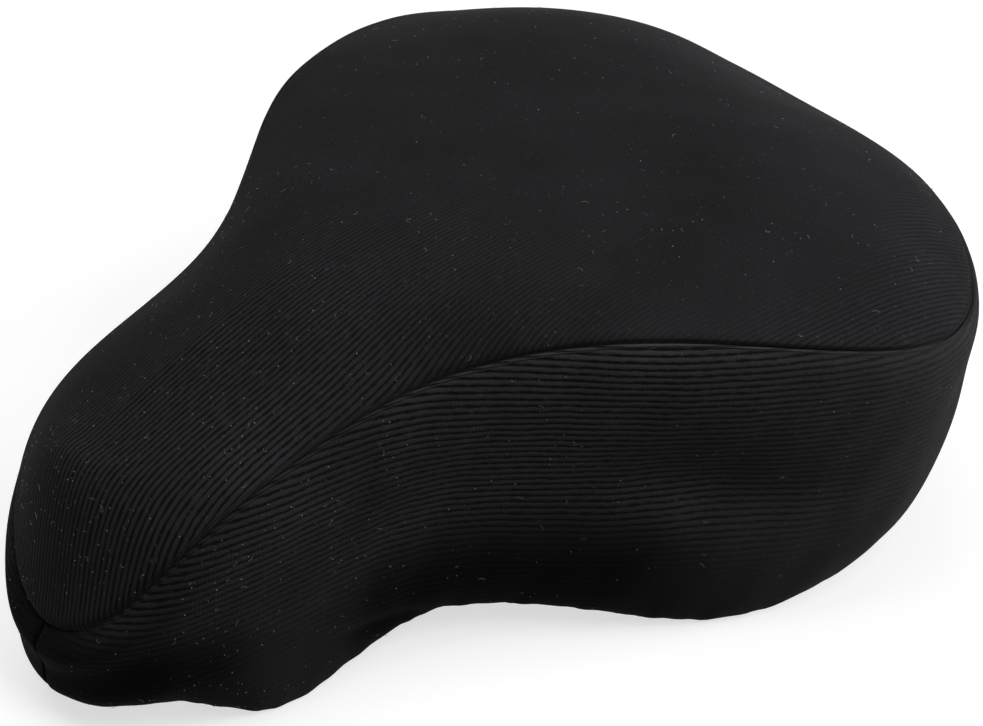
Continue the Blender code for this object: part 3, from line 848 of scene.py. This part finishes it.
def rib_group():
    tree, given, result = new_tree("rib knit", "ShaderNodeTree", {
        "Cloth place": ("NodeSocketVector", None),
        "Rib pitch": ("NodeSocketFloat", 1.25 * MM),
        "Stitch pitch": ("NodeSocketFloat", 1.0 * MM),
        "Wander": ("NodeSocketFloat", 0.7 * MM),
        "Strength": ("NodeSocketFloat", 1.0)},
        {"Height": "NodeSocketFloat", "Furrow": "NodeSocketFloat", "Fuzz": "NodeSocketFloat"})
    place, strength = given["Cloth place"], given["Strength"]

    # Distance from the middle of a rib: 0 on its top, 1 in the furrow, made uneven by the yarn
    drift = add_node(tree, "ShaderNodeTexNoise", {"Vector": place, "Scale": DRIFT_SCALE, "Detail": 2.0})
    shift = maths(tree, "MULTIPLY", maths(tree, "SUBTRACT", drift.outputs[0], 0.5), given["Wander"])
    flat = add_node(tree, "ShaderNodeSeparateXYZ", {0: place}).outputs
    across = maths(tree, "DIVIDE", maths(tree, "ADD", flat["X"], shift), given["Rib pitch"])
    off_middle = maths(tree, "ABSOLUTE", maths(tree, "SUBTRACT", maths(tree, "FRACT", across), 0.5))
    stretched = add_node(tree, "ShaderNodeVectorMath", {0: place, 1: YARN_STRETCH}, operation="MULTIPLY")
    yarn = add_node(tree, "ShaderNodeTexNoise", {
        "Vector": stretched.outputs[0], "Scale": YARN_SCALE, "Detail": 2.0})
    uneven = maths(tree, "MULTIPLY", maths(tree, "SUBTRACT", yarn.outputs[0], 0.5), YARN_UNEVEN)
    distance = maths(tree, "ADD", maths(tree, "MULTIPLY", off_middle, 2.0), uneven)
    edge = add_node(tree, "ShaderNodeClamp", {"Value": distance}).outputs[0]

    # A round top, with the chain of stitches on it and fuzz over all
    drop = maths(tree, "MULTIPLY", maths(tree, "MULTIPLY", edge, edge), ROUNDNESS)
    round_top = maths(tree, "SQRT", maths(tree, "SUBTRACT", 1.0, drop))
    onward = maths(tree, "DIVIDE", flat["Y"], given["Stitch pitch"])
    chain = maths(tree, "ADD", onward, maths(tree, "MULTIPLY", edge, STITCH_SLANT))
    beat = maths(tree, "COSINE", maths(tree, "MULTIPLY", chain, 2 * math.pi))
    beat = maths(tree, "MULTIPLY_ADD", beat, 0.5, 0.5)
    beat = maths(tree, "MULTIPLY_ADD", beat, STITCH_HEIGHT, 1.0 - STITCH_HEIGHT)
    raised = maths(tree, "MULTIPLY", maths(tree, "MULTIPLY", round_top, beat), strength)
    fuzz = add_node(tree, "ShaderNodeTexNoise", {
        "Vector": place, "Scale": FUZZ_SCALE, "Detail": 4.0, "Roughness": 0.7}).outputs[0]

    # Where the ribs lie flat, the painted furrow shade is smeared over all of the cloth
    smeared = maths(tree, "MULTIPLY", maths(tree, "SUBTRACT", 1.0, strength), SMEARED_SHADE)
    deepest = maths(tree, "MINIMUM", maths(tree, "ADD", strength, smeared), 1.0)
    tree.links.new(maths(tree, "MULTIPLY_ADD", fuzz, FUZZ_HEIGHT, raised), result["Height"])
    tree.links.new(ramp(tree, edge, FURROW_FROM, FURROW_TO, smeared, deepest), result["Furrow"])
    tree.links.new(fuzz, result["Fuzz"])
    return tree


# %% [markdown]
# ## The knit material
# The cloth is black, but never one black: the furrows are darker with painted shade, the ribs
# catch the light, fibres stand up as pale flecks, and the nap fades in soft patches. The ribs
# are pulled flat towards the tail and keep their form beside the rim. Low on the walls in
# front the colour is blended towards black, as painted shade, less on the pouch below the nose.
# Sheen gives the pale bloom that brushed cloth shows where it turns away from the eye.

# %% Helpers for materials
def new_material(name):
    finish = bpy.data.materials.new(name)
    finish.use_nodes = True
    return finish, finish.node_tree, finish.node_tree.nodes["Principled BSDF"]


def blend(tree, share, first, second):
    """A mix of two colours. The numbers are those of the mix node's colour sockets."""
    node = add_node(tree, "ShaderNodeMix", {}, data_type="RGBA")
    for index, value in ((0, share), (6, first), (7, second)):
        if isinstance(value, bpy.types.NodeSocket):
            tree.links.new(value, node.inputs[index])
        else:
            node.inputs[index].default_value = value
    return node.outputs[2]


def shade_of(colour, share=1.0):
    return tuple(share * c for c in colour) + (1.0,)


# %% Where the ribs stand up and where shade is painted, as pairs of places in metres
RIM_Z = (92 * MM, 103 * MM)
TUCK_Z = (15 * MM, 55 * MM)
# Painted shade: where the walls are blended towards black, low down and in front
PAINTED_SHADE_Z = (24 * MM, 56 * MM)
PAINTED_SHADE_Y = (-5 * MM, 40 * MM)
FRONT_Y = (-62 * MM, -33 * MM)
POUCH_Y = -78 * MM
POUCH_REACH = (6 * MM, 26 * MM)
POUCH_PAINTED_SHADE, WAIST_PAINTED_SHADE, FRONT_PAINTED_SHADE = 0.55, 0.95, 0.45


def rib_strength(tree, spot, look):
    """How far the ribs stand up: less towards the tail and low down, but not by the rim."""
    # The same strength sets how deep the painted shade in the furrows is
    worn = ramp(tree, spot["Y"], *look.flattening_y, 1.0, look.tail_ribs)
    by_rim = ramp(tree, spot["Z"], *RIM_Z, look.rim_ribs, 0.0)
    tucked = ramp(tree, spot["Z"], *TUCK_Z, look.low_ribs, 1.0)
    return maths(tree, "MULTIPLY", maths(tree, "MAXIMUM", worn, by_rim), tucked)


def fresh_share(tree, spot, fresh):
    """Painted shade that blackens the cloth: most low at the waist, less on the pouch that bulges below the
    nose.
    """
    low_down = ramp(tree, spot["Z"], *PAINTED_SHADE_Z, 1.0, 0.0)
    forward = ramp(tree, spot["Y"], *PAINTED_SHADE_Y, fresh, 0.0)
    from_pouch = maths(tree, "ABSOLUTE", maths(tree, "SUBTRACT", spot["Y"], POUCH_Y))
    shade_away_from_pouch = ramp(tree, from_pouch, *POUCH_REACH, POUCH_PAINTED_SHADE, WAIST_PAINTED_SHADE)
    tucked = maths(tree, "MULTIPLY", maths(tree, "MULTIPLY", low_down, forward), shade_away_from_pouch)
    return maths(tree, "MAXIMUM", tucked, ramp(tree, spot["Y"], *FRONT_Y, FRONT_PAINTED_SHADE * fresh, 0.0))


# %% The knit and its two looks
PATCH_SCALE, FLECK_SCALE = 28.0, 900.0
# The darkest of these three is painted shade, the colour of the furrows between the ribs
LIGHT_SHADE, PLAIN_SHADE, FURROW_PAINTED_SHADE = 1.35, 0.85, 0.28
FLECK_COLOUR = (0.10, 0.10, 0.105)
BLACK = (0.0, 0.0, 0.0)
RIBS = rib_group()


def knit(name, look):
    finish, tree, shader = new_material(name)
    room = add_node(tree, "ShaderNodeTexCoord").outputs["Object"]
    spot = add_node(tree, "ShaderNodeSeparateXYZ", {0: room}).outputs
    ribs = tree.nodes.new("ShaderNodeGroup")
    ribs.node_tree = RIBS
    tree.links.new(add_node(tree, "ShaderNodeUVMap", uv_map="cloth").outputs[0], ribs.inputs["Cloth place"])
    tree.links.new(rib_strength(tree, spot, look), ribs.inputs["Strength"])
    ribs.inputs["Rib pitch"].default_value = look.rib_pitch
    patches = add_node(tree, "ShaderNodeTexNoise", {"Vector": room, "Scale": PATCH_SCALE, "Detail": 3.0})
    wear = ramp(tree, patches.outputs[0], 0.3, 0.7, 0.0, 1.0, "LINEAR")
    ground = blend(tree, wear, shade_of(look.colour, PLAIN_SHADE), shade_of(look.colour, LIGHT_SHADE))
    # Painted shade in the furrows between the ribs
    furrow_shaded = blend(tree, ribs.outputs["Furrow"], ground, shade_of(look.colour, FURROW_PAINTED_SHADE))
    flecks = add_node(tree, "ShaderNodeTexNoise", {
        "Vector": room, "Scale": FLECK_SCALE, "Detail": 2.0, "Roughness": 0.8})
    fleck = ramp(tree, flecks.outputs[0], 0.64, 0.80, 0.0, 0.5, "LINEAR")
    flecked = blend(tree, fleck, furrow_shaded, shade_of(FLECK_COLOUR))
    # Painted shade: low on the walls in front the colour is blended towards black, less on the pouch
    fresh = fresh_share(tree, spot, look.fresh)
    tree.links.new(blend(tree, fresh, flecked, shade_of(BLACK)), shader.inputs["Base Color"])
    rough = maths(tree, "MULTIPLY_ADD", ribs.outputs["Fuzz"], 0.16, 0.80)
    tree.links.new(rough, shader.inputs["Roughness"])
    bump = add_node(tree, "ShaderNodeBump", {
        "Height": ribs.outputs["Height"], "Strength": 1.0, "Distance": look.rib_depth})
    tree.links.new(bump.outputs[0], shader.inputs["Normal"])
    shader.inputs["Specular IOR Level"].default_value = 0.03
    shader.inputs["Sheen Weight"].default_value = look.sheen
    shader.inputs["Sheen Roughness"].default_value = 0.45
    shader.inputs["Sheen Tint"].default_value = (0.80, 0.80, 0.85, 1.0)
    return finish


seat_knit = knit("seat knit", SimpleNamespace(
    colour=(0.0205, 0.0200, 0.0218), rib_pitch=1.32 * MM, rib_depth=0.20 * MM, sheen=0.028,
    flattening_y=(-80 * MM, 30 * MM), tail_ribs=0.12, rim_ribs=0.55, low_ribs=1.0, fresh=0.0))
# The side knit's colour is about twice the seat's, though it is the same black knit: painted light that
# brightens the walls
side_knit = knit("side knit", SimpleNamespace(
    colour=(0.0400, 0.0394, 0.0416), rib_pitch=1.92 * MM, rib_depth=0.75 * MM, sheen=0.020,
    flattening_y=(0.0, 75 * MM), tail_ribs=0.32, rim_ribs=0.0, low_ribs=0.12, fresh=1.0))
print("knits:", seat_knit.name, "and", side_knit.name)


# %% Thread, elastic and lint
def simple(name, colour, roughness, scale, depth):
    """A finish with fine grain, for the thread, the elastic and the lint."""
    finish, tree, shader = new_material(name)
    room = add_node(tree, "ShaderNodeTexCoord").outputs["Object"]
    grain = add_node(tree, "ShaderNodeTexNoise", {"Vector": room, "Scale": scale, "Detail": 3.0}).outputs[0]
    tree.links.new(blend(tree, grain, shade_of(colour, 0.7), shade_of(colour)), shader.inputs["Base Color"])
    bump = add_node(tree, "ShaderNodeBump", {"Height": grain, "Strength": 0.8, "Distance": depth})
    tree.links.new(bump.outputs[0], shader.inputs["Normal"])
    shader.inputs["Roughness"].default_value = roughness
    return finish


def give(piece, finish):
    piece.data.materials.clear()
    piece.data.materials.append(finish)


thread = simple("black thread", (0.010, 0.010, 0.011), 0.6, 2500.0, 0.05 * MM)
elastic = simple("black elastic", (0.020, 0.020, 0.020), 0.75, 1800.0, 0.10 * MM)
lint_finish = simple("lint", (0.27, 0.27, 0.285), 0.85, 2500.0, 0.02 * MM)
for cloth, finish in ((seat, seat_knit), (left, side_knit), (right, side_knit)):
    give(cloth, finish)
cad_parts["hem_elastic"].material_slots[0].material = elastic

# %% Stitches, seam thread and lint
stitches = []
for name, side in (("left_hem_stitches", 1), ("right_hem_stitches", -1)):
    stitches.append(grown(path_object(name, [hem_lines[side]]), name, stitch_tree(), {"Thread": thread}))
seam_thread = made_plain(path_object("seam_thread", thread_lines, SEAM_THREAD))
give(seam_thread, thread)
lint = grown(skin_object("lint_base"), "lint_fibres", lint_tree(), {"Lint": lint_finish})

# %% [markdown]
# ## What stands for what
# Every piece rides on the one body of the cover. Each cloth sheet stands for its solid in the
# model, which is hidden, and a table lists how large it was cut.

# %% Ride and replace
FLAT_CUTS = {
    "seat_cloth": (0.250, 0.325, 0.0455, "top_panel", "top_knit"),
    "left_cloth": (0.140, 0.412, 0.0393, "side_panel_left", "left_knit"),
    "right_cloth": (0.140, 0.412, 0.0393, "side_panel_right", "right_knit")}
for piece in (seat, left, right, seam_thread, *stitches, lint):
    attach(piece, "root")
for cloth, companion in ((seat, lint), (left, stitches[0]), (right, stitches[1])):
    width, length, area, node, slot = FLAT_CUTS[cloth.name]
    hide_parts(node)
    print(cloth.name, "outer and inner area:", round(sum(f.area for f in cloth.data.polygons), 4))

# %% [markdown]
# ## Floor, light and camera
# A pale floor and large soft lamps show black cloth best: small lamps would leave most of it
# flat. One lamp hangs overhead, one shines on the wall that faces the camera, and one stands
# low at the tail's side, where it draws the pale rim of the nap. The floor and the sky look
# white but cast little light of their own, or they would wash out the black.

# %% Floor
LIT_FLOOR, SEEN_FLOOR, FLOOR_GLOW = 0.03, 0.55, 0.66


def looked_at(tree):
    """1 where a ray from the camera arrives, by itself or by way of a shiny or clear thing."""
    ray = tree.nodes.new("ShaderNodeLightPath").outputs
    straight = maths(tree, "MAXIMUM", ray["Is Camera Ray"], ray["Is Glossy Ray"])
    return maths(tree, "MAXIMUM", straight, ray["Is Transmission Ray"])


def grey(level):
    return (level, level, level, 1.0)


def floor_finish():
    finish, tree, shader = new_material("white floor")
    seen = looked_at(tree)
    tree.links.new(blend(tree, seen, grey(LIT_FLOOR), grey(SEEN_FLOOR)), shader.inputs["Base Color"])
    tree.links.new(blend(tree, seen, grey(0.0), grey(FLOOR_GLOW)), shader.inputs["Emission Color"])
    shader.inputs["Emission Strength"].default_value = 1.0
    shader.inputs["Roughness"].default_value = 1.0
    shader.inputs["Specular IOR Level"].default_value = 0.0
    return finish


bpy.ops.mesh.primitive_circle_add(vertices=96, radius=4.0, fill_type="NGON")
floor = bpy.context.object
floor.name = "floor"
floor.data.materials.append(floor_finish())

# %% Lamps and world
LAMP_AIM = Vector((0.0, 0.0, 0.05))
SKY_GLOW = 0.13


def lamp(name, place, width, height, watts):
    light = bpy.data.lights.new(name, "AREA")
    light.shape = "RECTANGLE"
    light.size, light.size_y = width, height
    light.energy = watts
    stand = placed_in_room(name, light)
    stand.location = place
    stand.rotation_mode = "QUATERNION"
    stand.rotation_quaternion = (LAMP_AIM - Vector(place)).to_track_quat("-Z", "Y")


lamp("overhead lamp", (-0.10, -0.15, 1.10), 0.9, 0.9, 5.0)
lamp("side lamp", (0.85, -0.10, 1.05), 0.5, 0.5, 4.8)
lamp("tail side lamp", (0.80, 1.05, 0.32), 0.6, 0.5, 12.0)
world = bpy.data.worlds.new("studio")
bpy.context.scene.world = world
world.use_nodes = True
sky = world.node_tree
back = sky.nodes["Background"]
back.inputs["Color"].default_value = (1.0, 1.0, 1.0, 1.0)
glow = maths(sky, "MULTIPLY_ADD", looked_at(sky), 1.0 - SKY_GLOW, SKY_GLOW)
sky.links.new(glow, back.inputs["Strength"])

# %% Camera
AZIMUTH = math.radians(51.24)
ELEVATION = math.radians(34.95)
DISTANCE = 0.9267
LOOKED_AT = Vector((0.0, -0.0025, 0.045 - GROUND))
AIM_RIGHT = 0.01445
AIM_UP = 0.01016

camera_data = bpy.data.cameras.new("camera")
camera_data.lens = 126.67
camera_data.sensor_width = 36.0
camera = placed_in_room("camera", camera_data)
level = math.cos(ELEVATION)
back_way = Vector((math.sin(AZIMUTH) * level, -math.cos(AZIMUTH) * level, math.sin(ELEVATION)))
right_way = Vector((math.cos(AZIMUTH), math.sin(AZIMUTH), 0.0))
camera.location = LOOKED_AT + back_way * DISTANCE
aim = LOOKED_AT + right_way * AIM_RIGHT + back_way.cross(right_way) * AIM_UP
camera.rotation_mode = "QUATERNION"
camera.rotation_quaternion = (aim - camera.location).to_track_quat("-Z", "Y")
bpy.context.scene.camera = camera
bpy.context.scene.view_settings.view_transform = "Standard"
print("the camera stands", round(DISTANCE, 2), "m away")
